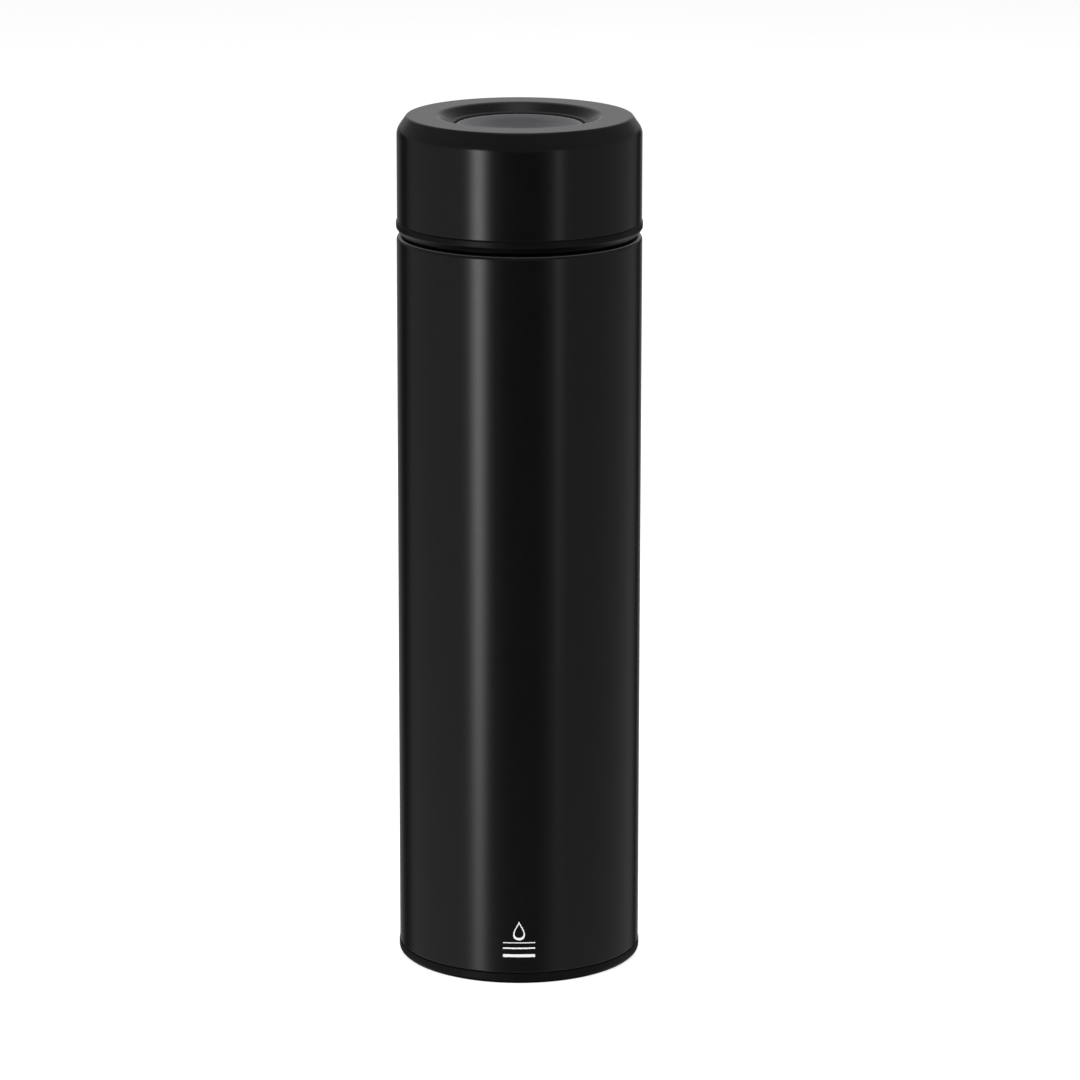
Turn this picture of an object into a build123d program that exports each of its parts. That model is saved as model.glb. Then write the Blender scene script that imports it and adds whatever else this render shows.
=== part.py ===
from build123d import *
import math
import os

# Double-wall vacuum flask with a screw cap, a display window in the cap and a tea strainer.
# Millimetres. Z is the flask's axis, z = 0 is the underside it stands on, -Y is the front.

os.makedirs("parts", exist_ok=True)

# ---------------------------------------------------------------- driving dimensions

steel = 0.4                 # wall of every pressed steel shell
join_gap = 0.1              # radial play of a running or slip fit

# Body
body_diameter = 65.0        # outside of the steel body
shoulder_z = 197.9          # top of the body's shoulder
shoulder_round = 1.3        # outside edge round of the shoulder
vacuum_gap = 2.2            # evacuated space between the two walls
floor_gap = 4.6             # the same space under the inner vessel's floor

# Base
base_height = 3.0           # visible plastic band
base_step = 0.15            # how far the band stands proud of the body
base_floor = 1.8
base_round = 1.3
skirt_height = 3.8          # part of the base cover hidden inside the body
skirt_wall = 1.5
foot_width = 7.0            # flat ring that the flask stands on
foot_relief = 0.6           # how far the middle of the underside is set back

# Mouth and neck
mouth_diameter = 40.0       # bore of the neck
neck_gap = 2.1              # evacuated space round the neck
seat_depth = 13.0           # mouth's lip down to the ledge that holds the strainer
seat_width = 2.0
throat_height = 1.44        # narrow stretch below the ledge or the outer shoulder, whichever is lower
shoulder_slope = 30.0       # degrees, underside of the inner vessel's shoulder

# Screw thread
thread_lead = 4.0
thread_turns = 1.25
thread_height = 1.0         # neck's rolled ridge
thread_root = 2.4           # ridge widths
thread_crest = 1.0
thread_from_lip = 10.5      # lip down to the lower end of the neck's ridge
thread_clearance = 0.4      # ridge crest to the wall it faces

# Cap outside
cap_step = 0.1              # cap shell's radius is this much less than the body's
shell_height = 27.95        # steel shell, bottom edge to rim
shell_chamfer_width = 2.6
shell_chamfer_height = 3.73
chamfer_round = 4.0
rim_round = 0.9
ring_height = 3.4           # plastic ring under the steel shell
ring_step = 0.25            # how far it stands proud of the shell
ring_taper_width = 1.1      # its lower edge is drawn in by a steep taper
ring_taper_height = 1.7
cap_gap = 0.4               # ring to shoulder with the cap screwed down

# Recess and display window in the cap's top
recess_diameter = 43.0
recess_depth = 2.14
recess_ledge = 1.4          # sloping wall's foot to the window
window_diameter = 34.0
window_gap = 0.3
window_thickness = 1.9
window_dome = 0.5           # rise of the window's middle over its edge
window_sink = 0.35          # recess ledge down to the window's edge
tape = 0.2

# Display module
module_height = 7.2         # housing
module_wall = 1.3
module_flange = 2.2         # rim under the steel shell
board_thickness = 1.0
board_drop = 1.2            # housing's rim down to the board's top
cell_diameter = 20.0
cell_thickness = 3.2
clip_metal = 0.3
clip_width = 7.0
digit_width = 16.0
digit_depth = 9.0
digit_height = 1.1
wiring_gap = 2.0            # under the housing

# Cap inside
plate = 1.8                 # top plate of the plastic liner
liner_wall = 2.0            # threaded wall
skirt_gap = 0.1             # liner's outer wall to the steel shell
outer_wall = 1.3
outer_wall_height = 9.0
rib_count = 12
rib_thickness = 1.2
washer_thickness = 1.5      # flat seal on the lip
plug_gap = 1.1              # plug to the neck's bore
plug_wall = 1.5
plug_depth = 11.3           # liner's plate down to the plug's underside
seal_height = 3.0           # ring round the plug
seal_foot = 1.3             # plug's underside up to the ring
seal_groove = 1.1

# Temperature probe
probe_radius = 2.2
probe_wall = 0.35
probe_flange = 4.6
probe_flange_thickness = 0.8
probe_reach = 5.0           # tube above the plug's floor
bead_radius = 1.2
wire_radius = 0.45
wire_spacing = 1.2
wire_bend = 1.5

# Strainer
strainer_ring_height = 2.0
strainer_depth = 15.5
strainer_gap = 0.7          # basket to the throat
strainer_hole = 0.8         # radius
strainer_pitch = 3.6
strainer_rows = 3
floor_margin = 4.0          # basket's wall in to the centres of the floor's last ring of holes
basket_bend = 0.6           # between the basket's flange and wall

# Vacuum parts
foil = 0.1
foil_margin = 6.0           # foil's ends short of the inner vessel's straight wall
dimple_radius = 5.0
dimple_height = 1.2
port_radius = 0.8
pellet_height = 0.9
getter_radius = 4.0
getter_thickness = 1.6
getter_offset = 15.0
getter_metal = 0.3

# ---------------------------------------------------------------- derived sizes

body_r = body_diameter / 2
mouth_r = mouth_diameter / 2
window_r = window_diameter / 2
cap_r = body_r - cap_step
inner_r = body_r - 2 * steel - vacuum_gap          # wetted wall of the inner vessel
neck_r = mouth_r + 2 * steel + neck_gap
throat_r = mouth_r - seat_width

ring_bottom_z = shoulder_z + cap_gap
shell_bottom_z = ring_bottom_z + ring_height
rim_z = shell_bottom_z + shell_height
ledge_z = rim_z - recess_depth
window_edge_z = ledge_z - window_sink
window_bottom_z = window_edge_z - window_thickness + window_dome
module_top_z = window_bottom_z - tape
module_bottom_z = module_top_z - module_height
plate_top_z = module_bottom_z - wiring_gap
plate_z = plate_top_z - plate
lip_z = plate_z - washer_thickness
seat_z = lip_z - seat_depth
plug_bottom_z = plate_z - plug_depth

thread_crest_r = neck_r + thread_height
thread_wall_r = thread_crest_r + thread_clearance
thread_z = lip_z - thread_from_lip
liner_crest_r = neck_r + thread_clearance
plug_r = mouth_r - plug_gap

floor_z = base_height + skirt_height + 3.6          # top of the outer vessel's floor
vessel_z = floor_z + floor_gap                      # underside of the inner vessel
throat_z = min(seat_z, shoulder_z - steel) - throat_height
vessel_top_z = throat_z - (inner_r - throat_r) * math.tan(math.radians(shoulder_slope))
vessel_join_z = vessel_z + 9.0                      # weld between wall and floor cup


# ---------------------------------------------------------------- shared outlines


def sheet(points, radii, side, thickness=steel):
    """Half section of a pressed sheet: a rounded outline given its thickness on one side."""
    with BuildSketch(Plane.XZ) as section:
        with BuildLine():
            FilletPolyline(*points, radius=radii)
            offset(amount=thickness, side=side)
        make_face()
    return section.sketch


def ring_section(r_in, r_out, z_low, z_high):
    """Rectangular half section of a ring."""
    with BuildSketch(Plane.XZ) as section:
        with Locations((r_in, z_low)):
            Rectangle(r_out - r_in, z_high - z_low, align=(Align.MIN, Align.MIN))
    return section.sketch


def helical_ridge(radius, z_start, root, crest, height, inward):
    """Screw ridge standing on a cylinder, outward on a neck or inward in a cap."""
    sign = -1 if inward else 1
    sink = 0.15
    with BuildLine() as path:
        Helix(thread_lead, thread_lead * thread_turns, radius, center=(0, 0, z_start))
    with BuildPart(mode=Mode.PRIVATE) as ridge:
        with BuildSketch(Plane.XZ):
            with BuildLine():
                Polyline(
                    (radius - sign * sink, z_start - root / 2),
                    (radius + sign * height, z_start - crest / 2),
                    (radius + sign * height, z_start + crest / 2),
                    (radius - sign * sink, z_start + root / 2),
                    close=True,
                )
            make_face()
        sweep(path=path.line, is_frenet=True)
    return ridge.part


def finish(part, name):
    """Name a finished piece and write it."""
    part.label = name
    export_step(part, f"parts/{name}.step")


# ---------------------------------------------------------------- body

# Outer vessel: straight body, shoulder, neck and the lip that turns in to meet the inner one.
with BuildPart() as outer_shell:
    shell_points = [
        (body_r, base_height),
        (body_r, shoulder_z),
        (neck_r, shoulder_z),
        (neck_r, lip_z),
        (mouth_r + steel, lip_z),
    ]
    revolve(sheet(shell_points, [shoulder_round, 1.0, 1.2], Side.LEFT), axis=Axis.Z)
    bottom_edge = outer_shell.edges().group_by(Axis.Z)[0].sort_by(SortBy.LENGTH)[-1]
    fillet(bottom_edge, steel / 2)
    add(helical_ridge(neck_r, thread_z, thread_root, thread_crest, thread_height, False))
finish(outer_shell.part, "outer_shell")

# Inner vessel's wall: bore, strainer ledge, throat, shoulder and straight wall.
with BuildPart() as inner_liner:
    liner_points = [
        (mouth_r, lip_z),
        (mouth_r, seat_z),
        (throat_r, seat_z),
        (throat_r, throat_z),
        (inner_r, vessel_top_z),
        (inner_r, vessel_join_z),
    ]
    revolve(sheet(liner_points, [0.6, 0.9, 2.5, 5.0], Side.LEFT), axis=Axis.Z)
finish(inner_liner.part, "inner_liner")

# Inner vessel's floor: a drawn cup welded edge to edge under the wall.
with BuildPart() as liner_bottom:
    cup_points = [
        (inner_r + steel, vessel_join_z),
        (inner_r + steel, vessel_z),
        (0, vessel_z),
    ]
    revolve(sheet(cup_points, [6.0], Side.RIGHT), axis=Axis.Z)
finish(liner_bottom.part, "liner_bottom")

# Outer vessel's floor: flanged disc with a dimple and the evacuation port in its middle.
with BuildPart() as outer_bottom:
    disc_points = [
        (body_r - steel, floor_z - 3.0),
        (body_r - steel, floor_z),
        (dimple_radius + 1.5, floor_z),
        (dimple_radius, floor_z + dimple_height),
        (port_radius, floor_z + dimple_height),
    ]
    revolve(sheet(disc_points, [1.2, 0.8, 0.5], Side.LEFT), axis=Axis.Z)
finish(outer_bottom.part, "outer_bottom")

# Pellet of sealing glass melted into the dimple and the port.
with BuildPart() as vacuum_seal:
    dimple_z = floor_z + dimple_height
    pellet_z = dimple_z - steel
    pellet_r = dimple_radius - 1.2
    with BuildSketch(Plane.XZ):
        with BuildLine():
            Polyline(
                (pellet_r, pellet_z),
                (port_radius, pellet_z),
                (port_radius, dimple_z),
                (0, dimple_z),
                (0, pellet_z - pellet_height),
            )
            TangentArc((0, pellet_z - pellet_height), (pellet_r, pellet_z), tangent=(1, 0))
        make_face()
    revolve(axis=Axis.Z)
finish(vacuum_seal.part, "vacuum_seal")

# Getter pill and the spot-welded strap that holds it under the inner vessel's floor.
with BuildPart() as getter:
    with BuildSketch(Plane.XY.offset(vessel_z - getter_thickness)):
        with Locations((getter_offset, 0)):
            Circle(getter_radius)
    extrude(amount=getter_thickness)
finish(getter.part, "getter")

with BuildPart() as getter_clip:
    strap_x = getter_radius + getter_metal
    with BuildSketch(Plane.XZ.offset(-getter_radius / 2)):
        with BuildLine():
            Polyline(
                (getter_offset - strap_x - 3, vessel_z),
                (getter_offset - strap_x, vessel_z),
                (getter_offset - strap_x, vessel_z - getter_thickness - getter_metal),
                (getter_offset + strap_x, vessel_z - getter_thickness - getter_metal),
                (getter_offset + strap_x, vessel_z),
                (getter_offset + strap_x + 3, vessel_z),
            )
            offset(amount=getter_metal, side=Side.RIGHT)
        make_face()
    extrude(amount=getter_radius)
finish(getter_clip.part, "getter_clip")

# Copper foil wrapped round the inner vessel against radiated heat.
with BuildPart() as reflector_foil:
    foil_r = inner_r + steel
    foil_low_z = vessel_join_z + foil_margin
    foil_high_z = vessel_top_z - foil_margin
    revolve(ring_section(foil_r, foil_r + foil, foil_low_z, foil_high_z), axis=Axis.Z)
finish(reflector_foil.part, "reflector_foil")

# Base cover: floor, visible band and the skirt glued inside the body.
with BuildPart() as base_cover:
    base_r = body_r + base_step
    skirt_r = body_r - steel - join_gap
    foot_in_r = base_r - base_round - foot_width
    with BuildSketch(Plane.XZ):
        with BuildLine():
            FilletPolyline(
                (0, foot_relief),
                (foot_in_r - foot_relief, foot_relief),
                (foot_in_r, 0),
                (base_r, 0),
                (base_r, base_height),
                (skirt_r, base_height),
                radius=[0.3, 0.3, base_round, 0.25],
            )
            Polyline(
                (skirt_r, base_height),
                (skirt_r, base_height + skirt_height),
                (skirt_r - skirt_wall, base_height + skirt_height),
                (skirt_r - skirt_wall, base_floor + foot_relief),
                (0, base_floor + foot_relief),
                (0, foot_relief),
            )
        make_face()
    revolve(axis=Axis.Z)
finish(base_cover.part, "base_cover")

# ---------------------------------------------------------------- strainer

basket_r = throat_r - strainer_gap
strainer_seat_z = seat_z + strainer_ring_height
basket_z = strainer_seat_z - strainer_depth

# Soft ring that centres the basket on the ledge.
with BuildPart() as strainer_ring:
    ring_out_r = mouth_r - 0.3
    revolve(ring_section(basket_r, ring_out_r, seat_z, strainer_seat_z), axis=Axis.Z)
    rounded = strainer_ring.edges().filter_by(GeomType.CIRCLE).group_by(SortBy.RADIUS)[-1]
    fillet(rounded, 0.5)
    upper = strainer_ring.edges().filter_by(GeomType.CIRCLE).group_by(Axis.Z)[-1]
    fillet(upper.sort_by(SortBy.RADIUS)[0], basket_bend)
finish(strainer_ring.part, "strainer_ring")

# Perforated basket with its flange lying on the ring.
with BuildPart() as strainer_basket:
    basket_points = [
        (ring_out_r - 0.3, strainer_seat_z),
        (basket_r, strainer_seat_z),
        (basket_r, basket_z),
        (0, basket_z),
    ]
    revolve(sheet(basket_points, [basket_bend, 2.5], Side.RIGHT), axis=Axis.Z)
    with BuildSketch(Plane.XY.offset(basket_z)):
        Circle(strainer_hole)
        for ring in range(1, int((basket_r - floor_margin) / strainer_pitch) + 1):
            with PolarLocations(ring * strainer_pitch, 6 * ring):
                Circle(strainer_hole)
    extrude(amount=2 * steel, both=True, mode=Mode.SUBTRACT)
    holes_per_row = 2 * round(math.pi * basket_r / strainer_pitch)
    for row in range(strainer_rows):
        row_z = basket_z + 3.6 + row * strainer_pitch * 0.87
        shift = (row % 2) * 180 / holes_per_row
        turns = PolarLocations(0, holes_per_row // 2, start_angle=shift, angular_range=180)
        with BuildPart(mode=Mode.PRIVATE) as row_pins:
            with Locations((0, 0, row_z)):
                with turns:
                    Cylinder(strainer_hole, 2 * basket_r + 4, rotation=(0, 90, 0))
        add(row_pins.part, mode=Mode.SUBTRACT)
finish(strainer_basket.part, "strainer_basket")

# ---------------------------------------------------------------- cap outside

window_hole_r = window_r + window_gap

# Steel shell: straight wall, chamfer, rim, sloping recess and the flange round the window.
with BuildPart() as cap_shell:
    cap_points = [
        (cap_r, shell_bottom_z),
        (cap_r, rim_z - shell_chamfer_height),
        (cap_r - shell_chamfer_width, rim_z),
        (recess_diameter / 2, rim_z),
        (window_hole_r + recess_ledge - window_gap, ledge_z),
        (window_hole_r, ledge_z),
        (window_hole_r, module_top_z),
    ]
    radii = [chamfer_round, rim_round, 2.2, 0.5, 0.55]
    revolve(sheet(cap_points, radii, Side.LEFT), axis=Axis.Z)
    lower_edge = cap_shell.edges().group_by(Axis.Z)[0].sort_by(SortBy.LENGTH)[-1]
    fillet(lower_edge, steel / 2)
finish(cap_shell.part, "cap_shell")

# Display window: smoked disc with a rounded edge and a slightly domed face.
with BuildPart() as display_window:
    with BuildSketch(Plane.XZ):
        with BuildLine():
            Line((0, window_bottom_z), (window_r, window_bottom_z))
            Line((window_r, window_bottom_z), (window_r, window_edge_z))
            dome_r = (window_r**2 + window_dome**2) / (2 * window_dome)
            RadiusArc((window_r, window_edge_z), (0, window_edge_z + window_dome), -dome_r)
            Line((0, window_edge_z + window_dome), (0, window_bottom_z))
        make_face()
    revolve(axis=Axis.Z)
    closed_edges = display_window.edges().filter_by(lambda edge: edge.is_closed)
    fillet(closed_edges.sort_by(Axis.Z)[-1], 0.6)
finish(display_window.part, "display_window")

# ---------------------------------------------------------------- display module

housing_in_r = window_r - module_wall
housing_wall_r = housing_in_r + module_wall
flange_r = window_hole_r + module_flange
board_top_z = module_top_z - board_drop
board_z = board_top_z - board_thickness
cell_z = board_z - 0.1 - cell_thickness
wire_y = housing_in_r - 2.2

# Tape that seals the window to the housing.
with BuildPart() as window_tape:
    tape_r = window_r - join_gap
    revolve(ring_section(housing_in_r, tape_r, module_top_z, window_bottom_z), axis=Axis.Z)
finish(window_tape.part, "window_tape")

# Housing: cup with a rim under the steel shell, board posts and a slot for the wires.
with BuildPart() as module_housing:
    with BuildSketch(Plane.XY.offset(module_bottom_z)):
        Circle(housing_wall_r)
    extrude(amount=module_height)
    with BuildSketch(Plane.XY.offset(module_top_z - board_drop)):
        Circle(flange_r)
    extrude(amount=board_drop)
    with BuildSketch(Plane.XY.offset(module_bottom_z + module_wall)):
        Circle(housing_in_r)
    extrude(amount=module_height, mode=Mode.SUBTRACT)
    with BuildSketch(Plane.XY.offset(module_bottom_z + module_wall)):
        with PolarLocations(housing_in_r - 1.0, 4, start_angle=45):
            Circle(1.3)
        Circle(housing_in_r + 0.1, mode=Mode.INTERSECT)
    extrude(amount=board_z - module_bottom_z - module_wall)
    with BuildSketch(Plane.XY.offset(module_bottom_z)):
        with Locations((0, wire_y)):
            SlotOverall(5.0, 2.4)
    extrude(amount=module_wall, mode=Mode.SUBTRACT)
finish(module_housing.part, "module_housing")

# Printed circuit board.
with BuildPart() as display_board:
    with BuildSketch(Plane.XY.offset(board_z)):
        Circle(housing_in_r - join_gap)
    extrude(amount=board_thickness)
finish(display_board.part, "display_board")

# Numeric display block on the board.
with BuildPart() as led_display:
    with BuildSketch(Plane.XY.offset(board_top_z)):
        RectangleRounded(digit_width, digit_depth, 0.5)
    extrude(amount=digit_height)
finish(led_display.part, "led_display")

# Coin cell: can with the smaller negative face below.
with BuildPart() as coin_cell:
    with BuildSketch(Plane.XY.offset(cell_z + 0.4)):
        Circle(cell_diameter / 2)
    extrude(amount=cell_thickness - 0.4)
    with BuildSketch(Plane.XY.offset(cell_z)):
        Circle(cell_diameter / 2 - 1.2)
    extrude(amount=0.4)
    fillet(coin_cell.edges().filter_by(GeomType.CIRCLE).sort_by(Axis.Z)[-1], 0.3)
finish(coin_cell.part, "coin_cell")

# Spring strap that carries the cell under the board.
with BuildPart() as cell_clip:
    strap_half = cell_diameter / 2 + 0.2
    with BuildSketch(Plane.XZ.offset(-clip_width / 2)):
        with BuildLine():
            Polyline(
                (-strap_half, board_z),
                (-strap_half, cell_z),
                (strap_half, cell_z),
                (strap_half, board_z),
            )
            offset(amount=clip_metal, side=Side.RIGHT)
        make_face()
    extrude(amount=clip_width)
finish(cell_clip.part, "cell_clip")

# ---------------------------------------------------------------- cap inside

outer_wall_r = cap_r - steel - skirt_gap
liner_out_r = thread_wall_r + liner_wall
liner_ring_r = cap_r + ring_step

# Liner: visible ring, threaded wall, top plate, outer wall and the ribs between the walls.
with BuildPart() as cap_liner:
    with BuildSketch(Plane.XZ):
        with BuildLine():
            FilletPolyline(
                (thread_wall_r, plate_z),
                (thread_wall_r, ring_bottom_z),
                (liner_ring_r - ring_taper_width, ring_bottom_z),
                (liner_ring_r, ring_bottom_z + ring_taper_height),
                (liner_ring_r, shell_bottom_z),
                (outer_wall_r, shell_bottom_z),
                radius=[0.4, 0.3, 0.5, 0.35],
            )
            Polyline(
                (outer_wall_r, shell_bottom_z),
                (outer_wall_r, shell_bottom_z + outer_wall_height),
                (outer_wall_r - outer_wall, shell_bottom_z + outer_wall_height),
                (outer_wall_r - outer_wall, shell_bottom_z - 0.6),
                (liner_out_r, shell_bottom_z - 0.6),
                (liner_out_r, plate_top_z),
                (wire_spacing + wire_radius + 0.4, plate_top_z),
                (wire_spacing + wire_radius + 0.4, plate_z),
                (thread_wall_r, plate_z),
            )
        make_face()
    revolve(axis=Axis.Z)
    rib_length = outer_wall_r - outer_wall - liner_out_r
    with BuildSketch(Plane.XY.offset(shell_bottom_z - 0.7)):
        with PolarLocations((outer_wall_r - outer_wall + liner_out_r) / 2, rib_count):
            Rectangle(rib_length + 0.6, rib_thickness)
    extrude(amount=outer_wall_height - 1.0)
    liner_thread_z = thread_z - thread_lead / 2
    ridge = thread_wall_r - liner_crest_r
    add(helical_ridge(thread_wall_r, liner_thread_z, 2.1, 0.8, ridge, True))
finish(cap_liner.part, "cap_liner")

# Plug: cup welded under the liner's plate, with a groove for its seal.
with BuildPart() as cap_plug:
    groove_z = plug_bottom_z + seal_foot
    groove_r = plug_r - seal_groove
    plug_floor_z = plug_bottom_z + plug_wall
    step_z = groove_z + seal_height + 1.2
    with BuildSketch(Plane.XZ):
        with BuildLine():
            FilletPolyline(
                (probe_radius, plug_bottom_z),
                (plug_r, plug_bottom_z),
                (plug_r, groove_z),
                radius=[0.5],
            )
            Polyline(
                (plug_r, groove_z),
                (groove_r, groove_z),
                (groove_r, groove_z + seal_height + 2 * join_gap),
                (plug_r, groove_z + seal_height + 2 * join_gap),
                (plug_r, plate_z),
                (plug_r - plug_wall, plate_z),
                (plug_r - plug_wall, step_z + 1.0),
                (groove_r - plug_wall, step_z),
                (groove_r - plug_wall, plug_floor_z),
                (probe_radius, plug_floor_z),
                (probe_radius, plug_bottom_z),
            )
        make_face()
    revolve(axis=Axis.Z)
finish(cap_plug.part, "cap_plug")

# Foam puck that fills the plug.
with BuildPart() as cap_insulation:
    foam_r = groove_r - plug_wall - join_gap
    foam_hole_r = probe_radius + 0.5
    revolve(ring_section(foam_hole_r, foam_r, plug_floor_z, plate_z), axis=Axis.Z)
finish(cap_insulation.part, "cap_insulation")

# Seal ring round the plug: a rounded lip that just meets the bore.
with BuildPart() as plug_seal:
    seal_z = groove_z + join_gap
    seal_in_r = groove_r + join_gap
    seal_lip_r = mouth_r - join_gap
    with BuildSketch(Plane.XZ):
        with BuildLine():
            Polyline(
                (plug_r + 0.2, seal_z),
                (seal_in_r, seal_z),
                (seal_in_r, seal_z + seal_height),
                (plug_r + 0.2, seal_z + seal_height),
            )
            ThreePointArc(
                (plug_r + 0.2, seal_z + seal_height),
                (seal_lip_r, seal_z + seal_height / 2),
                (plug_r + 0.2, seal_z),
            )
        make_face()
    revolve(axis=Axis.Z)
finish(plug_seal.part, "plug_seal")

# Flat washer pressed between the lip and the liner's plate.
with BuildPart() as lip_washer:
    washer_in_r = plug_r + 0.35
    washer_out_r = liner_crest_r - 0.35
    revolve(ring_section(washer_in_r, washer_out_r, lip_z, plate_z), axis=Axis.Z)
    fillet(lip_washer.edges().filter_by(GeomType.CIRCLE), 0.3)
finish(lip_washer.part, "lip_washer")

# ---------------------------------------------------------------- temperature probe

sensor_z = plug_floor_z + 1.0

# Closed steel capsule through the plug's floor, with a flange on the drink's side.
with BuildPart() as temperature_probe:
    flange_z = plug_bottom_z - probe_flange_thickness
    with BuildSketch(Plane.XY.offset(flange_z)):
        Circle(probe_flange)
    extrude(amount=probe_flange_thickness)
    with BuildSketch(Plane.XY.offset(plug_bottom_z)):
        Circle(probe_radius)
    extrude(amount=plug_wall + probe_reach)
    with BuildSketch(Plane.XY.offset(flange_z + probe_wall)):
        Circle(probe_radius - probe_wall)
    extrude(amount=probe_flange_thickness + plug_wall + probe_reach, mode=Mode.SUBTRACT)
    fillet(temperature_probe.edges().filter_by(GeomType.CIRCLE).sort_by(Axis.Z)[0], 0.4)
finish(temperature_probe.part, "temperature_probe")

# Thermistor bead inside the capsule.
with BuildPart() as thermistor:
    with Locations((0, 0, sensor_z)):
        Sphere(bead_radius)
finish(thermistor.part, "thermistor")

# Two insulated wires from the board down to the bead.
with BuildPart() as probe_wires:
    duct_z = plate_top_z + wiring_gap / 2
    for side in (-1, 1):
        wire_x = side * wire_spacing / 2
        with BuildLine() as wire_path:
            FilletPolyline(
                (wire_x, wire_y, board_z),
                (wire_x, wire_y, duct_z),
                (wire_x, 0, duct_z),
                (wire_x, 0, sensor_z + bead_radius),
                radius=0.9,
            )
        with BuildSketch(Plane((wire_x, wire_y, board_z))):
            Circle(wire_radius)
        sweep(path=wire_path.line)
finish(probe_wires.part, "probe_wires")
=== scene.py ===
"""Looks of the vacuum flask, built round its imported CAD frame. Metres, +Z up, -Y is the front."""

import math

import bmesh
import bpy
from mathutils import Matrix, Vector


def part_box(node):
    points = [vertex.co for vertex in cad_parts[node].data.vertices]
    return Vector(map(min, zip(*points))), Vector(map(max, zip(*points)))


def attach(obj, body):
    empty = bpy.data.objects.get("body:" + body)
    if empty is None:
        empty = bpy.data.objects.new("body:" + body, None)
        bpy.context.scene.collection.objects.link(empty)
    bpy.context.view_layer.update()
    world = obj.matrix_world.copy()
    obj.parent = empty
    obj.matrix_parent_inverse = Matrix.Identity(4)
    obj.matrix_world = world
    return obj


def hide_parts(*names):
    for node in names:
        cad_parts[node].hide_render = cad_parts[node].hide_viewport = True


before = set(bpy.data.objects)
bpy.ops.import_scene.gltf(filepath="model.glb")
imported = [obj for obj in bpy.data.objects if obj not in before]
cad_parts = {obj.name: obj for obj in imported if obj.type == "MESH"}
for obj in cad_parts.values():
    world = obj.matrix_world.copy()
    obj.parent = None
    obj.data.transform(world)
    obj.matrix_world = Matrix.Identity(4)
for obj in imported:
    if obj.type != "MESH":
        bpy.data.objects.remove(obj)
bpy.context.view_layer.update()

MM = 0.001
SEGMENTS = 288              # steps round every turned piece
ARC_STEP = math.radians(7)  # largest step along a rounded corner
SUPPORT = 0.15 * MM         # support ring's distance from the end of a straight run
SAME_PLACE = 1e-6           # metres: radii and points closer than this are one
SHARP_EDGE = math.radians(35)

# ---------------------------------------------------------------- sizes


def radius_of(node):
    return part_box(node)[1].x


STEEL = 0.4 * MM
BODY_R = radius_of("outer_shell")
BASE_R = radius_of("base_cover")
CAP_R = radius_of("cap_shell")
WINDOW_R = radius_of("display_window")
BODY_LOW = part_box("outer_shell")[0].z
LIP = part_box("outer_shell")[1].z
BASE_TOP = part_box("base_cover")[1].z
SHELL_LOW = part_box("cap_shell")[0].z
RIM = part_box("cap_shell")[1].z
WINDOW_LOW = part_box("display_window")[0].z
WINDOW_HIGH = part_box("display_window")[1].z

SHOULDER = 197.9 * MM
MOUTH_R = 20.0 * MM
NECK_R = 22.9 * MM
THREAD_LEAD = 4.0 * MM
THREAD_TURNS = 1.25
NECK_THREAD_LOW = LIP - 10.5 * MM

# ---------------------------------------------------------------- objects and turned pieces


def add_object(name, data):
    item = bpy.data.objects.new(name, data)
    bpy.context.scene.collection.objects.link(item)
    return item


def add_mesh(name, vertices, faces):
    mesh = bpy.data.meshes.new(name)
    mesh.from_pydata(vertices, [], faces)
    mesh.validate()
    return add_object(name, mesh)


def smooth_step(low, high, value):
    t = min(max((value - low) / (high - low), 0.0), 1.0)
    return t * t * (3 - 2 * t)


def rounded(corners):
    """Points (r, z) of an outline given as (r, z, fillet) corners, with arcs and support points."""
    points = [Vector(corners[0][:2])]
    for before, corner, after in zip(corners, corners[1:], corners[2:]):
        tip = Vector(corner[:2])
        fillet = corner[2]
        back = (Vector(before[:2]) - tip).normalized()
        ahead = (Vector(after[:2]) - tip).normalized()
        opening = back.angle(ahead)
        if fillet <= 0 or opening > math.pi - 1e-4:
            points.append(tip)
            continue
        turn = math.pi - opening
        reach = fillet * math.tan(turn / 2)
        centre = tip + (back + ahead).normalized() * (fillet / math.cos(turn / 2))
        start = tip + back * reach - centre
        sense = 1 if start.cross(tip + ahead * reach - centre) > 0 else -1
        steps = max(4, math.ceil(turn / ARC_STEP))
        for step in range(steps + 1):
            angle = sense * turn * step / steps
            points.append(centre + Matrix.Rotation(angle, 2) @ start)
    points.append(Vector(corners[-1][:2]))
    return points


def offset_corners(corners, distance):
    """The outline moved sideways, to its left for a positive distance, fillets included."""
    flat = [Vector(c[:2]) for c in corners]
    moved = []
    for i, corner in enumerate(corners):
        normals = []
        for a, b in ((i - 1, i), (i, i + 1)):
            if a >= 0 and b < len(flat):
                run = (flat[b] - flat[a]).normalized()
                normals.append(Vector((-run.y, run.x)))
        if len(normals) == 1:
            shift = normals[0] * distance
            fillet = 0.0
        else:
            mean = (normals[0] + normals[1]).normalized()
            shift = mean * distance / mean.dot(normals[0])
            left_turn = normals[0].cross(normals[1]) > 0
            fillet = corner[2] + (-distance if left_turn else distance)
        moved.append((corner[0] + shift.x, corner[1] + shift.y, max(fillet, 0.0)))
    return moved


def supported(points, dense=None):
    """Adds support points to long runs, and rings a step apart between two heights."""
    out = [points[0]]
    for a, b in zip(points, points[1:]):
        run = (b - a).length
        marks = []
        if run > 4 * SUPPORT:
            marks = [SUPPORT / run, 1 - SUPPORT / run]
        if dense and abs(b.x - a.x) < SAME_PLACE and run > 4 * SUPPORT:
            low, high, step = dense
            count = int(run / step)
            marks += [k / count for k in range(1, count)
                      if low < a.y + (b.y - a.y) * k / count < high]
        out += [a.lerp(b, m) for m in sorted(set(marks))]
        out.append(b)
    return out


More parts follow.
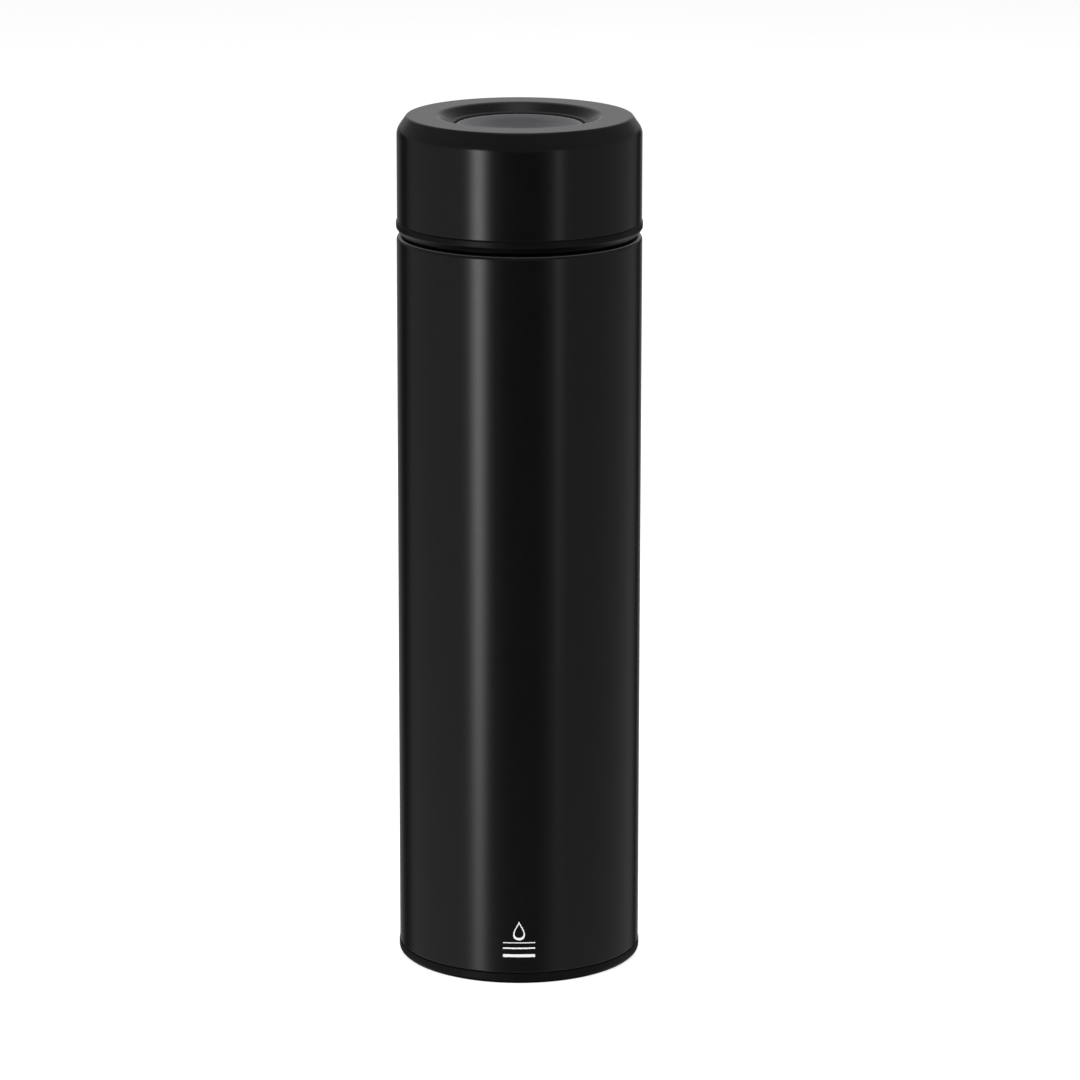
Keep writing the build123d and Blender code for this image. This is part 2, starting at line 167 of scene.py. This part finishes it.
def ridge_height(thread, angle, z):
    """Height of a screw ridge over its cylinder at an angle and a height."""
    fade = 0.05             # turns over which the ridge grows at each end
    best = 0.0
    for lap in range(math.ceil(thread["turns"]) + 1):
        along = angle / math.tau + lap
        if along > thread["turns"]:
            continue
        away = abs(z - thread["low"] - thread["lead"] * along)
        flank = 1 - smooth_step(thread["crest"] / 2, thread["root"] / 2, away)
        ends = smooth_step(0, fade, along) * smooth_step(0, fade, thread["turns"] - along)
        best = max(best, flank * ends)
    return best * thread["height"]


def lathe(name, points, thread=None, closed=True):
    """Turns an outline of (r, z) points about Z, with a screw ridge if one is given.

    An outline that starts and ends on the axis is turned with closed=False.
    """
    rings = []
    vertices = []
    for point in points:
        if point.x < SAME_PLACE:
            rings.append([len(vertices)] * SEGMENTS)
            vertices.append((0.0, 0.0, point.y))
            continue
        ring = []
        on_thread = thread and abs(point.x - thread["radius"]) < SAME_PLACE
        for k in range(SEGMENTS):
            angle = math.tau * k / SEGMENTS
            r = point.x
            if on_thread:
                r += thread["sign"] * ridge_height(thread, angle, point.y)
            ring.append(len(vertices))
            vertices.append((r * math.cos(angle), r * math.sin(angle), point.y))
        rings.append(ring)
    pairs = list(zip(rings, rings[1:]))
    if closed:
        pairs.append((rings[-1], rings[0]))
    faces = []
    for lower, upper in pairs:
        for k in range(SEGMENTS):
            n = (k + 1) % SEGMENTS
            face = list(dict.fromkeys((lower[k], lower[n], upper[n], upper[k])))
            if len(face) > 2:
                faces.append(face)
    return add_mesh(name, vertices, faces)


def shade(piece):
    """Smooth shading with sharp edges kept and normals weighted by face size."""
    smoother = piece.modifiers.new("smooth", "NODES")
    smoother.node_group = smooth_group()
    normals = piece.modifiers.new("normals", "WEIGHTED_NORMAL")
    normals.keep_sharp = True


def smooth_group():
    """Geometry nodes: merge doubled vertices, shade smooth, keep edges over SHARP_EDGE sharp."""
    name = "smooth_by_angle"
    if name in bpy.data.node_groups:
        return bpy.data.node_groups[name]
    group = bpy.data.node_groups.new(name, "GeometryNodeTree")
    group.interface.new_socket("Geometry", in_out="INPUT", socket_type="NodeSocketGeometry")
    group.interface.new_socket("Geometry", in_out="OUTPUT", socket_type="NodeSocketGeometry")
    nodes = group.nodes
    links = group.links
    source = nodes.new("NodeGroupInput")
    merge = nodes.new("GeometryNodeMergeByDistance")
    merge.inputs["Distance"].default_value = SAME_PLACE
    faces = nodes.new("GeometryNodeSetShadeSmooth")
    faces.domain = "FACE"
    angle = nodes.new("GeometryNodeInputMeshEdgeAngle")
    gentle = nodes.new("FunctionNodeCompare")
    gentle.data_type = "FLOAT"
    gentle.operation = "LESS_THAN"
    gentle.inputs[1].default_value = SHARP_EDGE
    edges = nodes.new("GeometryNodeSetShadeSmooth")
    edges.domain = "EDGE"
    result = nodes.new("NodeGroupOutput")
    links.new(source.outputs[0], merge.inputs["Geometry"])
    links.new(merge.outputs[0], faces.inputs["Geometry"])
    links.new(angle.outputs["Unsigned Angle"], gentle.inputs[0])
    links.new(faces.outputs[0], edges.inputs["Geometry"])
    links.new(gentle.outputs[0], edges.inputs["Shade Smooth"])
    links.new(edges.outputs[0], result.inputs[0])
    return group


def face_outward(mesh):
    """Turns every face's normal to the outside of its shell."""
    shell = bmesh.new()
    shell.from_mesh(mesh)
    bmesh.ops.recalc_face_normals(shell, faces=shell.faces)
    shell.to_mesh(mesh)
    shell.free()


# ---------------------------------------------------------------- materials

NOISE_LOW = 0.3             # most of a noise texture's values lie between these two
NOISE_HIGH = 0.7


def new_material(name):
    material = bpy.data.materials.new(name)
    material.use_nodes = True
    nodes = material.node_tree.nodes
    return material, nodes, material.node_tree.links, nodes["Principled BSDF"]


def noise(nodes, links, scale, detail=3.0, stretch=(1, 1, 1)):
    """3-D noise in object space; scale is features per metre."""
    place = nodes.new("ShaderNodeTexCoord")
    mapping = nodes.new("ShaderNodeMapping")
    mapping.inputs["Scale"].default_value = stretch
    texture = nodes.new("ShaderNodeTexNoise")
    texture.inputs["Scale"].default_value = scale
    texture.inputs["Detail"].default_value = detail
    texture.inputs["Roughness"].default_value = 0.55
    links.new(place.outputs["Object"], mapping.inputs["Vector"])
    links.new(mapping.outputs["Vector"], texture.inputs["Vector"])
    return texture.outputs["Fac"]


def spread(nodes, links, value, low, high):
    """Maps a noise value to low..high."""
    span = nodes.new("ShaderNodeMapRange")
    span.inputs["From Min"].default_value = NOISE_LOW
    span.inputs["From Max"].default_value = NOISE_HIGH
    span.inputs["To Min"].default_value = low
    span.inputs["To Max"].default_value = high
    links.new(value, span.inputs["Value"])
    return span.outputs["Result"]


def tint(nodes, links, value, dark, light):
    """Mixes two colours by a noise value."""
    ramp = nodes.new("ShaderNodeValToRGB")
    first, last = ramp.color_ramp.elements
    first.position = NOISE_LOW
    first.color = (*dark, 1)
    last.position = NOISE_HIGH
    last.color = (*light, 1)
    links.new(value, ramp.inputs["Fac"])
    return ramp.outputs["Color"]


def bump(nodes, links, height, distance, normal=None):
    """A bump of that height in metres."""
    node = nodes.new("ShaderNodeBump")
    node.inputs["Strength"].default_value = 1.0
    node.inputs["Distance"].default_value = distance
    links.new(height, node.inputs["Height"])
    if normal:
        links.new(normal, node.inputs["Normal"])
    return node.outputs["Normal"]


def scaled(colour, factor):
    return tuple(factor * c for c in colour)


def powder_coat(name, base, rough, grain):
    """Satin black powder coat: fine grain over a long soft orange peel."""
    material, nodes, links, shader = new_material(name)
    patches = noise(nodes, links, 160, detail=4)
    colour = tint(nodes, links, patches, scaled(base, 0.85), scaled(base, 1.15))
    links.new(colour, shader.inputs["Base Color"])
    speckle = noise(nodes, links, 2600, detail=2)
    links.new(spread(nodes, links, speckle, rough - 0.03, rough + 0.03),
              shader.inputs["Roughness"])
    shader.inputs["IOR"].default_value = 1.5
    peel = bump(nodes, links, noise(nodes, links, 650, detail=2), 0.9e-6)
    fine = bump(nodes, links, noise(nodes, links, 3200, detail=1), grain, normal=peel)
    links.new(fine, shader.inputs["Normal"])
    return material


def moulded_plastic(name, base, rough, ior=1.49):
    """Black moulded plastic with a faint spark-eroded grain."""
    material, nodes, links, shader = new_material(name)
    patches = noise(nodes, links, 300, detail=4)
    colour = tint(nodes, links, patches, scaled(base, 0.8), scaled(base, 1.2))
    links.new(colour, shader.inputs["Base Color"])
    grain = noise(nodes, links, 2400, detail=2)
    links.new(spread(nodes, links, grain, rough - 0.05, rough + 0.05), shader.inputs["Roughness"])
    shader.inputs["IOR"].default_value = ior
    links.new(bump(nodes, links, grain, 2.0e-6), shader.inputs["Normal"])
    return material


def steel(name, base, rough, lines=5.0, anisotropic=0.5):
    """Stainless steel with fine lines round the axis."""
    material, nodes, links, shader = new_material(name)
    streaks = noise(nodes, links, 900, detail=4, stretch=(0.06, 0.06, lines))
    colour = tint(nodes, links, streaks, scaled(base, 0.86), base)
    links.new(colour, shader.inputs["Base Color"])
    links.new(spread(nodes, links, streaks, rough - 0.05, rough + 0.07),
              shader.inputs["Roughness"])
    shader.inputs["Metallic"].default_value = 1.0
    shader.inputs["Anisotropic"].default_value = anisotropic
    links.new(bump(nodes, links, streaks, 1.5e-6), shader.inputs["Normal"])
    return material


def soft_material(name, base, rough, grain_scale, grain_height, subsurface=0.0, coat=0.0):
    """Rubber, foam, tape, foil or print with a fine grain."""
    material, nodes, links, shader = new_material(name)
    grain = noise(nodes, links, grain_scale, detail=3)
    colour = tint(nodes, links, grain, scaled(base, 0.82), base)
    links.new(colour, shader.inputs["Base Color"])
    links.new(spread(nodes, links, grain, rough - 0.06, rough + 0.06),
              shader.inputs["Roughness"])
    shader.inputs["Subsurface Weight"].default_value = subsurface
    shader.inputs["Subsurface Radius"].default_value = (0.8 * MM, 0.8 * MM, 0.7 * MM)
    shader.inputs["Coat Weight"].default_value = coat
    links.new(bump(nodes, links, grain, grain_height), shader.inputs["Normal"])
    return material


def window_material():
    """Smoked satin plastic whose colour lightens towards the edge: a painted highlight standing in
    for the bright reflection along the window's edge.
    """
    material, nodes, links, shader = new_material("smoked_window_painted_edge_highlight")
    place = nodes.new("ShaderNodeTexCoord")
    split = nodes.new("ShaderNodeSeparateXYZ")
    links.new(place.outputs["Object"], split.inputs[0])
    flat = nodes.new("ShaderNodeCombineXYZ")
    links.new(split.outputs["X"], flat.inputs["X"])
    links.new(split.outputs["Y"], flat.inputs["Y"])
    radius = nodes.new("ShaderNodeVectorMath")
    radius.operation = "LENGTH"
    links.new(flat.outputs[0], radius.inputs[0])
    reach = nodes.new("ShaderNodeMath")
    reach.operation = "DIVIDE"
    reach.inputs[1].default_value = WINDOW_R
    links.new(radius.outputs["Value"], reach.inputs[0])
    # Painted highlight: the dark middle is the smoked tint, and the colour lightens out to the edge
    # in place of a bright reflection there.
    band = nodes.new("ShaderNodeValToRGB")
    stops = band.color_ramp.elements
    stops[0].position = 0.35
    stops[0].color = (0.030, 0.030, 0.033, 1)
    stops[1].position = 1.0
    stops[1].color = (0.17, 0.17, 0.18, 1)
    middle = stops.new(0.85)
    middle.color = (0.085, 0.085, 0.092, 1)
    links.new(reach.outputs[0], band.inputs["Fac"])
    links.new(band.outputs["Color"], shader.inputs["Base Color"])
    haze = noise(nodes, links, 220, detail=3)
    links.new(spread(nodes, links, haze, 0.42, 0.48), shader.inputs["Roughness"])
    shader.inputs["IOR"].default_value = 1.35
    links.new(bump(nodes, links, haze, 1.5e-6), shader.inputs["Normal"])
    return material


BODY_COAT = powder_coat("body_powder_coat", (0.0016, 0.0016, 0.0018), 0.20, 0.4e-6)
CAP_COAT = powder_coat("cap_powder_coat", (0.0016, 0.0016, 0.0018), 0.20, 0.7e-6)
BLACK_PP = moulded_plastic("black_polypropylene", (0.0014, 0.0014, 0.0015), 0.36, ior=1.3)
BASE_PP = moulded_plastic("base_polypropylene", (0.0022, 0.0022, 0.0023), 0.45, ior=1.25)
PLUG_PP = moulded_plastic("plug_polypropylene", (0.018, 0.018, 0.019), 0.42)
HOUSING = moulded_plastic("black_abs", (0.015, 0.015, 0.016), 0.45)
LINER_STEEL = steel("liner_steel", (0.60, 0.59, 0.57), 0.24)
VESSEL_STEEL = steel("vessel_steel", (0.52, 0.51, 0.50), 0.34, lines=2.0, anisotropic=0.2)
BRIGHT_STEEL = steel("bright_steel", (0.66, 0.65, 0.63), 0.18)
COPPER = steel("copper_foil", (0.83, 0.44, 0.28), 0.22, lines=0.4, anisotropic=0.0)
NICKEL = steel("cell_nickel", (0.70, 0.70, 0.68), 0.16, lines=0.3, anisotropic=0.0)
SILICONE = soft_material("milky_silicone", (0.62, 0.62, 0.60), 0.42, 900, 2e-6, subsurface=0.3)
FOAM = soft_material("white_foam", (0.74, 0.73, 0.69), 0.85, 1400, 60e-6)
TAPE = soft_material("black_tape", (0.02, 0.02, 0.02), 0.7, 1800, 8e-6)
SEAL_GLASS = soft_material("seal_glass", (0.07, 0.055, 0.045), 0.14, 500, 3e-6, coat=0.5)
GETTER = soft_material("getter_alloy", (0.20, 0.20, 0.19), 0.75, 2600, 25e-6)
BOARD = soft_material("solder_mask", (0.012, 0.10, 0.05), 0.30, 1500, 3e-6, coat=0.4)
DIGITS = soft_material("display_block", (0.045, 0.045, 0.05), 0.35, 1200, 2e-6)
BEAD = soft_material("amber_epoxy", (0.32, 0.12, 0.04), 0.15, 600, 2e-6, coat=0.5)
WIRE = soft_material("red_pvc", (0.42, 0.03, 0.03), 0.38, 1500, 2e-6)
PRINT = soft_material("white_print", (0.80, 0.80, 0.80), 0.55, 2500, 1e-6)
WINDOW = window_material()

# ---------------------------------------------------------------- visible pieces


def dress(piece, body, slot_name, *materials, replaced=()):
    """Gives a new piece its materials, body and shading; slot_name is not used."""
    face_outward(piece.data)
    for material in materials:
        piece.data.materials.append(material)
    shade(piece)
    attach(piece, body)
    if replaced:
        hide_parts(*replaced)
    return piece


def body_shell():
    """Coated body with its bare steel neck, rolled thread and lip."""
    shoulder_round = 1.3 * MM
    neck_foot_round = 1.0 * MM
    lip_round = 1.2 * MM
    low_edge_round = 0.36 * MM
    thread_ring_step = 0.2 * MM
    outside = [
        (BODY_R, BODY_LOW, 0),
        (BODY_R, SHOULDER, shoulder_round),
        (NECK_R, SHOULDER, neck_foot_round),
        (NECK_R, LIP, lip_round),
        (MOUTH_R + STEEL, LIP, 0),
    ]
    inside = offset_corners(outside, STEEL)
    outline = [(BODY_R - STEEL, BODY_LOW, 0), (BODY_R, BODY_LOW, low_edge_round)] + outside[1:]
    threaded = (NECK_THREAD_LOW - 2 * MM, LIP - 1.5 * MM, thread_ring_step)
    outer = supported(rounded(outline), threaded)
    thread = {
        "radius": NECK_R, "low": NECK_THREAD_LOW, "lead": THREAD_LEAD, "turns": THREAD_TURNS,
        "height": 0.98 * MM, "root": 2.6 * MM, "crest": 0.7 * MM, "sign": 1,
    }
    inner = supported(rounded(inside))
    piece = lathe("body_shell", outer + inner[::-1][:-1], thread)
    dress(piece, "bottle", "body_coating", BODY_COAT, VESSEL_STEEL, replaced=["outer_shell"])
    coat_edge_r = NECK_R + 1.3 * MM
    for face in piece.data.polygons:
        x, y, z = face.center
        r = math.hypot(x, y)
        faces_out = face.normal.dot(Vector((x, y, 0)).normalized()) > -0.2
        outer_skin = r > BODY_R - 0.9 * STEEL or z > SHOULDER - 0.5 * STEEL
        coated = r > coat_edge_r and faces_out and outer_skin
        face.material_index = 0 if coated else 1
    return piece


def base_band():
    """Moulded base cover: visible band, foot ring, set-back middle and the hidden skirt."""
    skirt_r = BODY_R - STEEL - 0.1 * MM
    skirt_wall = 1.5 * MM
    relief = 0.6 * MM
    floor = 2.4 * MM
    foot_r = BASE_R - 8.3 * MM
    corners = [
        (0, relief, 0),
        (foot_r - relief, relief, 0.3 * MM),
        (foot_r, 0, 0.3 * MM),
        (BASE_R, 0, 1.3 * MM),
        (BASE_R, BODY_LOW, 0.25 * MM),
        (skirt_r, BODY_LOW, 0),
        (skirt_r, BASE_TOP, 0.3 * MM),
        (skirt_r - skirt_wall, BASE_TOP, 0.3 * MM),
        (skirt_r - skirt_wall, floor, 0.8 * MM),
        (0, floor, 0),
    ]
    piece = lathe("base_band", supported(rounded(corners)), closed=False)
    return dress(piece, "bottle", "black_plastic", BASE_PP, replaced=["base_cover"])


def cap_outer():
    """Coated cap shell: wall, chamfer, rim, sloping recess and the turned-down window flange."""
    chamfer_width = 2.6 * MM
    chamfer_low = RIM - 3.73 * MM
    recess_r = 21.5 * MM
    window_gap = 0.3 * MM
    ledge_width = 1.1 * MM
    hole_r = WINDOW_R + window_gap
    ledge = RIM - 2.14 * MM
    flange_low = WINDOW_LOW - 0.2 * MM
    outside = [
        (CAP_R, SHELL_LOW, 0),
        (CAP_R, chamfer_low, 4.0 * MM),
        (CAP_R - chamfer_width, RIM, 0.9 * MM),
        (recess_r, RIM, 2.2 * MM),
        (hole_r + ledge_width, ledge, 0.5 * MM),
        (hole_r, ledge, 0.55 * MM),
        (hole_r, flange_low, 0),
    ]
    inside = offset_corners(outside, STEEL)
    outline = [(CAP_R - STEEL, SHELL_LOW, 0), (CAP_R, SHELL_LOW, 0.18 * MM)] + outside[1:]
    outer = supported(rounded(outline))
    inner = supported(rounded(inside))
    piece = lathe("cap_outer", outer + inner[::-1][:-1])
    return dress(piece, "cap", "cap_coating", CAP_COAT, replaced=["cap_shell"])


def window():
    """Smoked disc with a rolled edge and a slightly domed face."""
    dome = 0.5 * MM
    edge_z = WINDOW_HIGH - dome
    roll = 0.6 * MM
    ball = (WINDOW_R**2 + dome**2) / (2 * dome)
    points = rounded([(0, WINDOW_LOW, 0), (WINDOW_R, WINDOW_LOW, 0.15 * MM),
                      (WINDOW_R, edge_z, roll), (WINDOW_R - 2 * roll, edge_z + 0.035 * MM, 0)])
    rings = 24
    for step in range(rings, -1, -1):
        r = (WINDOW_R - 2.2 * roll) * step / rings
        points.append(Vector((r, WINDOW_HIGH - ball + math.sqrt(ball**2 - r**2))))
    piece = lathe("window_disc", points, closed=False)
    return dress(piece, "cap", "window_plastic", WINDOW, replaced=["display_window"])


def print_mark():
    """Small printed mark low on the front: a droplet outline over three plain bars."""
    lift = 0.02 * MM
    sink = 0.02 * MM
    droplet_z = 15.0 * MM
    droplet_points = 72
    bar_width = 8.6
    bars = ((11.5, 0.25), (9.9, 0.4), (7.6, 0.8))       # lower edge and height in mm
    bar_steps = 24
    vertices = []
    faces = []

    def strip(low_edge, high_edge, loop):
        """Thin closed shell between two edges of (x, z) points, wrapped on the body."""
        first = len(vertices)
        count = len(low_edge)
        for depth in (-sink, lift):
            for edge in (low_edge, high_edge):
                for x, z in edge:
                    angle = x / BODY_R
                    r = BODY_R + depth
                    vertices.append((r * math.sin(angle), -r * math.cos(angle), z))

        def at(side, edge, k):
            return first + (side * 2 + edge) * count + k % count

        for k in range(count if loop else count - 1):
            faces.append((at(1, 0, k), at(1, 0, k + 1), at(1, 1, k + 1), at(1, 1, k)))
            faces.append((at(0, 0, k), at(0, 1, k), at(0, 1, k + 1), at(0, 0, k + 1)))
            faces.append((at(0, 0, k), at(0, 0, k + 1), at(1, 0, k + 1), at(1, 0, k)))
            faces.append((at(0, 1, k), at(1, 1, k), at(1, 1, k + 1), at(0, 1, k + 1)))
        if not loop:
            for k in (0, count - 1):
                faces.append((at(0, 0, k), at(1, 0, k), at(1, 1, k), at(0, 1, k)))

    def droplet(size):
        """Droplet of that half-width: a circle whose top is drawn to a point."""
        points = []
        for k in range(droplet_points):
            t = math.tau * k / droplet_points
            x = size * math.sin(t) * math.sin(t / 2) ** 1.6
            points.append((x, droplet_z + size * 1.15 * math.cos(t)))
        return points

    strip(droplet(1.75 * MM), droplet(2.3 * MM), loop=True)
    xs = [bar_width * MM * (k / bar_steps - 0.5) for k in range(bar_steps + 1)]
    for low, height in bars:
        strip([(x, low * MM) for x in xs], [(x, (low + height) * MM) for x in xs], loop=False)
    piece = add_mesh("print_mark", vertices, faces)
    return dress(piece, "bottle", "body_coating", PRINT)


body_shell()
base_band()
cap_outer()
window()
print_mark()

# ---------------------------------------------------------------- CAD nodes that stay

NODE_MATERIALS = {
    "inner_liner": LINER_STEEL, "liner_bottom": LINER_STEEL, "outer_bottom": VESSEL_STEEL,
    "vacuum_seal": SEAL_GLASS, "getter": GETTER, "getter_clip": VESSEL_STEEL,
    "reflector_foil": COPPER, "strainer_basket": BRIGHT_STEEL, "strainer_ring": SILICONE,
    "lip_washer": SILICONE, "plug_seal": SILICONE, "cap_liner": BLACK_PP, "cap_plug": PLUG_PP,
    "cap_insulation": FOAM, "window_tape": TAPE, "module_housing": HOUSING,
    "display_board": BOARD, "led_display": DIGITS, "coin_cell": NICKEL, "cell_clip": BRIGHT_STEEL,
    "temperature_probe": BRIGHT_STEEL, "thermistor": BEAD, "probe_wires": WIRE,
}
for node_name, material in NODE_MATERIALS.items():
    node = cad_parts[node_name]
    node.data.materials.clear()
    node.data.materials.append(material)
    shade(node)

# ---------------------------------------------------------------- stage, light and camera


def floor():
    """Pale floor, bright as a light table, with a soft contact shadow."""
    half = 6.0
    corners = [(-half, -half, 0), (half, -half, 0), (half, half, 0), (-half, half, 0)]
    plane = add_mesh("floor", corners, [(0, 1, 2, 3)])
    material, nodes, links, shader = new_material("pale_floor")
    mottle = noise(nodes, links, 9, detail=3)
    links.new(tint(nodes, links, mottle, (0.50, 0.50, 0.50), (0.52, 0.52, 0.52)),
              shader.inputs["Base Color"])
    shader.inputs["Roughness"].default_value = 0.9
    shader.inputs["Emission Color"].default_value = (1, 1, 1, 1)
    shader.inputs["Emission Strength"].default_value = 0.72
    plane.data.materials.append(material)
    plane.visible_glossy = False
    plane.visible_diffuse = False


class Graph:
    """Short way to write sums of node values."""

    def __init__(self, tree):
        self.nodes = tree.nodes
        self.links = tree.links

    def math(self, operation, *values, clamp=False):
        node = self.nodes.new("ShaderNodeMath")
        node.operation = operation
        node.use_clamp = clamp
        for k, value in enumerate(values):
            if isinstance(value, (int, float)):
                node.inputs[k].default_value = value
            else:
                self.links.new(value, node.inputs[k])
        return node.outputs[0]

    def ramp(self, value, stops):
        """Grey ramp through (position, level) stops."""
        node = self.nodes.new("ShaderNodeValToRGB")
        elements = node.color_ramp.elements
        while len(elements) < len(stops):
            elements.new(0.5)
        for element, (position, level) in zip(elements, stops):
            element.position = position
            element.color = (level, level, level, 1)
        self.links.new(value, node.inputs["Fac"])
        return node.outputs["Color"]

    def bell(self, value, centre, width):
        """Soft card: 1 at its centre, falling off as a Gaussian of that width."""
        away = self.math("DIVIDE", self.math("SUBTRACT", value, centre), width)
        return self.math("EXPONENT", self.math("MULTIPLY", self.math("MULTIPLY", away, away), -1))


# Brightness of the studio round the flask, by azimuth in degrees: 0 is the camera's side,
# positive to its right, 180 behind the flask.
SURROUND = [
    (-180, 0.55), (-165, 0.22), (-158, 0.16), (-152, 0.11), (-146, 0.03), (-138, 0.02),
    (-131, 0.06), (-123, 0.20), (-114, 0.24), (-93, 0.29), (-78, 0.315), (-50, 0.33),
    (-30, 0.22), (-20, 0.14), (-10, 0.075), (4, 0.062), (12, 0.05), (20, 0.065), (30, 0.15),
    (44, 0.22), (60, 0.225), (86, 0.23), (118, 0.24), (129, 0.25), (137, 0.20), (143, 0.09),
    (148, 0.01), (154, 0.02), (160, 0.14), (167, 0.32), (180, 0.55),
]
LEFT_CARD = (-38.8, 5.8, 4.4)      # azimuth, half-width, brightness
RIGHT_CARD = (37.0, 3.6, 0.62)
LEFT_REACH = [(0.30, 0.15), (0.337, 0.27), (0.35, 0.38), (0.374, 0.72), (0.40, 1.0), (0.56, 1.0),
              (0.60, 0.0)]
RIGHT_REACH = [(0.30, 0.0), (0.35, 0.08), (0.374, 0.30), (0.40, 1.0), (0.41, 1.25), (0.56, 1.25),
               (0.60, 0.0)]

# The rest of the studio, as (position, level) stops. The reaches and FLOOR_GLOW go by height: 0 is
# straight down, 0.5 the horizon, 1 straight up. UPPER_RISE and CEILING_RISE go by the sine of the
# elevation. UPPER_TURN goes once round from behind the flask, with 0.5 in front of it.
SURROUND_REACH = [(0.0, 0.0), (0.10, 0.0), (0.30, 1.3), (0.335, 1.2), (0.40, 1.0), (0.52, 1.0),
                  (0.56, 0.0)]
FLOOR_GLOW = [(0.0, 0.0), (0.13, 0.05), (0.18, 0.7), (0.25, 0.7), (0.32, 0.0)]
UPPER_TURN = [(0.0, 1.0), (0.04, 0.9), (0.10, 0.4), (0.25, 0.5), (0.5, 0.34), (0.75, 0.5),
              (0.90, 0.4), (0.96, 0.9), (1.0, 1.0)]
UPPER_RISE = [(0.04, 0.0), (0.10, 0.46), (0.16, 0.46), (0.30, 0.42), (0.85, 0.42), (1.0, 0.42)]
CEILING_RISE = [(0.93, 0.0), (0.99, 1.0)]
CEILING_LEVEL = 0.35


def studio():
    """World light: a dim surround with two narrow upright cards and a soft ceiling."""
    world = bpy.data.worlds.new("studio")
    bpy.context.scene.world = world
    world.use_nodes = True
    tree = world.node_tree
    tree.nodes.clear()
    g = Graph(tree)
    direction = tree.nodes.new("ShaderNodeTexCoord")
    split = tree.nodes.new("ShaderNodeSeparateXYZ")
    g.links.new(direction.outputs["Generated"], split.inputs[0])
    x, y, up = split.outputs
    azimuth = g.math("DEGREES", g.math("ARCTAN2", x, g.math("MULTIPLY", y, -1)))
    turn = g.math("ADD", g.math("DIVIDE", azimuth, 360), 0.5)
    height = g.math("ADD", g.math("MULTIPLY", up, 0.5), 0.5)

    low = g.ramp(turn, [((a + 180) / 360, level) for a, level in SURROUND])
    below = g.ramp(height, SURROUND_REACH)
    glow = g.ramp(height, FLOOR_GLOW)
    total = g.math("ADD", g.math("MULTIPLY", low, below), glow)
    for (centre, half, level), reach in ((LEFT_CARD, LEFT_REACH), (RIGHT_CARD, RIGHT_REACH)):
        card = g.math("MULTIPLY", g.bell(azimuth, centre, half), level)
        total = g.math("ADD", total, g.math("MULTIPLY", card, g.ramp(height, reach)))

    # Above the horizon: brightest low behind the flask, dim in front, a soft ceiling overhead.
    upper = g.math("MULTIPLY", g.ramp(turn, UPPER_TURN), g.ramp(up, UPPER_RISE))
    ceiling = g.math("MULTIPLY", g.ramp(up, CEILING_RISE), CEILING_LEVEL)
    total = g.math("ADD", total, g.math("ADD", upper, ceiling))

    light = tree.nodes.new("ShaderNodeBackground")
    light.inputs["Color"].default_value = (0.985, 0.99, 1.0, 1)
    g.links.new(total, light.inputs["Strength"])
    paper = tree.nodes.new("ShaderNodeBackground")
    paper.inputs["Color"].default_value = (1, 1, 1, 1)
    paper.inputs["Strength"].default_value = 1.0
    eye = tree.nodes.new("ShaderNodeLightPath")
    mix = tree.nodes.new("ShaderNodeMixShader")
    result = tree.nodes.new("ShaderNodeOutputWorld")
    g.links.new(eye.outputs["Is Camera Ray"], mix.inputs[0])
    g.links.new(light.outputs[0], mix.inputs[1])
    g.links.new(paper.outputs[0], mix.inputs[2])
    g.links.new(mix.outputs[0], result.inputs["Surface"])


LAMP_AIM = 0.11             # height of the point that every lamp is aimed at


def soft_light(name, position, size, power):
    """Large square lamp aimed at the flask; it lights surfaces but shows in no reflection."""
    data = bpy.data.lights.new(name, "AREA")
    data.size = size
    data.energy = power
    lamp = add_object(name, data)
    lamp.location = position
    aim = Vector((0, 0, LAMP_AIM)) - Vector(position)
    lamp.rotation_euler = aim.to_track_quat("-Z", "Y").to_euler()
    lamp.visible_glossy = False
    lamp.visible_camera = False


FOCAL_LENGTH = 169.35       # mm, on a sensor 36 mm wide
CAMERA_PLACE = (0, -1.32298, 0.4445)
CAMERA_DOWN = math.radians(14.009)
CAMERA_YAW = 0.0042
CAMERA_ROLL = 0.0016


def camera():
    """Long lens, looking down at the flask's front from fourteen degrees above the horizontal."""
    data = bpy.data.cameras.new("camera")
    data.sensor_width = 36.0
    data.lens = FOCAL_LENGTH
    data.clip_start = 0.05
    data.clip_end = 50
    obj = add_object("camera", data)
    level = math.cos(CAMERA_DOWN)
    look = Vector((math.sin(CAMERA_YAW) * level, math.cos(CAMERA_YAW) * level,
                   -math.sin(CAMERA_DOWN)))
    right = Vector((math.cos(CAMERA_YAW), -math.sin(CAMERA_YAW), 0))
    above = right.cross(look)
    right, above = (right * math.cos(CAMERA_ROLL) + above * math.sin(CAMERA_ROLL),
                    above * math.cos(CAMERA_ROLL) - right * math.sin(CAMERA_ROLL))
    axes = Matrix((right, above, -look)).transposed().to_4x4()
    obj.matrix_world = Matrix.Translation(CAMERA_PLACE) @ axes
    bpy.context.scene.camera = obj


floor()
studio()
soft_light("key_light", (-1.0, -1.5, 0.9), 1.2, 34)
soft_light("fill_light", (1.2, -1.3, 0.6), 1.2, 22)
soft_light("top_light", (0.1, 0.5, 1.6), 1.0, 16)
camera()
bpy.context.scene.view_settings.view_transform = "Standard"
bpy.context.scene.view_settings.look = "None"
